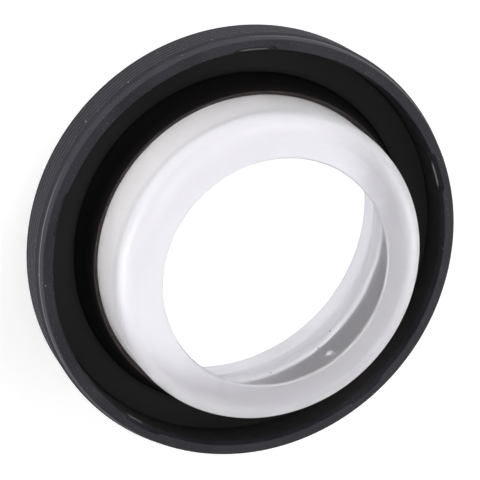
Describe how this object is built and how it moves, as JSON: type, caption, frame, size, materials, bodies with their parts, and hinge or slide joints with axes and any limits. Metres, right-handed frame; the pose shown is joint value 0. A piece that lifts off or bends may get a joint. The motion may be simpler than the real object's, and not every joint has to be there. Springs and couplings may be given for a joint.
{
  "type": "radial shaft seal",
  "caption": "Radial shaft seal with a ribbed rubber outside, a steel case and a thin forward-turned lip, on its translucent assembly sleeve.",
  "frame": {"origin": "on the seal's axis, at the height of the assembly sleeve's back rim, which the part rests on", "axes": "+Z along the seal's axis, towards the front with the lip's edge and the sleeve's mouth; +X through the middle of one window in the front rim"},
  "size_m": [0.07, 0.07, 0.0286],
  "materials": {
    "case_steel": "dark coated, satin",
    "cover_rubber": "matt",
    "lip_fluoropolymer": "matt",
    "sleeve_plastic": "translucent, satin"
  },
  "bodies": {
    "root": {"metal_case": "case_steel", "rubber_cover": "cover_rubber", "clamp_ring": "case_steel", "sealing_lip": "lip_fluoropolymer", "assembly_sleeve": "sleeve_plastic"}
  },
  "joints": []
}
